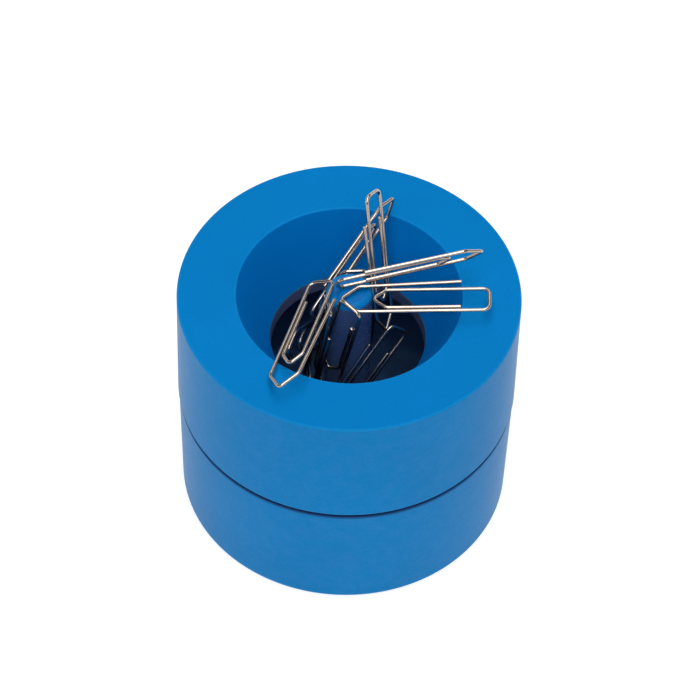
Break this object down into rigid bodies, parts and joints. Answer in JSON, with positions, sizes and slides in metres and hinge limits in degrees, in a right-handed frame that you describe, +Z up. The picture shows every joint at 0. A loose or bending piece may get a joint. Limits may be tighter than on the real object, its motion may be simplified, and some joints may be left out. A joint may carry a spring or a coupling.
{
  "type": "magnetic paper clip holder",
  "caption": "Round two-part desk holder with a funnel top and a magnetic post in the middle that draws up wire paper clips from the store below.",
  "frame": {"origin": "on the axis of the round holder, on the plane it stands on", "axes": "+Z up along the post, -Y towards the viewer of the picture, +X to the right"},
  "size_m": [0.073, 0.073, 0.0742],
  "materials": {
    "shell": "fine moulded satin",
    "post": "smooth moulded gloss",
    "magnet": "sintered ferrite, dull",
    "plug": "moulded",
    "clip_wire": "bright plated drawn wire"
  },
  "bodies": {
    "holder": {"base_cup": "shell", "magnet_post": "post", "post_magnet": "magnet", "post_plug": "plug", "clip_hanging": "clip_wire", "clip_leaning": "clip_wire", "clip_low_left": "clip_wire", "clip_post_left": "clip_wire", "clip_post_back": "clip_wire"},
    "top": {"funnel_top": "shell"},
    "clip_front_left": {"clip_front_left": "clip_wire"},
    "clip_right": {"clip_right": "clip_wire"},
    "clip_on_edge": {"clip_on_edge": "clip_wire"},
    "clip_back_left": {"clip_back_left": "clip_wire"},
    "clip_standing": {"clip_standing": "clip_wire"}
  },
  "joints": [
    {"name": "top_lift", "type": "slide", "parent": "holder", "child": "top", "axis": [0, 0, 1], "range_m": [0, 0.05]},
    {"name": "clip_front_left_pull", "type": "slide", "parent": "top", "child": "clip_front_left", "axis": [-0.2753, -0.9599, 0.0523], "range_m": [0, 0.04]},
    {"name": "clip_right_pull", "type": "slide", "parent": "top", "child": "clip_right", "axis": [0.9985, 0.0174, 0.0523], "range_m": [0, 0.04]},
    {"name": "clip_on_edge_pull", "type": "slide", "parent": "top", "child": "clip_on_edge", "axis": [0.9671, 0.2233, 0.1219], "range_m": [0, 0.04]},
    {"name": "clip_back_left_pull", "type": "slide", "parent": "top", "child": "clip_back_left", "axis": [0.5221, 0.774, 0.3584], "range_m": [0, 0.04]},
    {"name": "clip_standing_pull", "type": "slide", "parent": "top", "child": "clip_standing", "axis": [-0.1294, 0.483, 0.866], "range_m": [0, 0.04]}
  ]
}
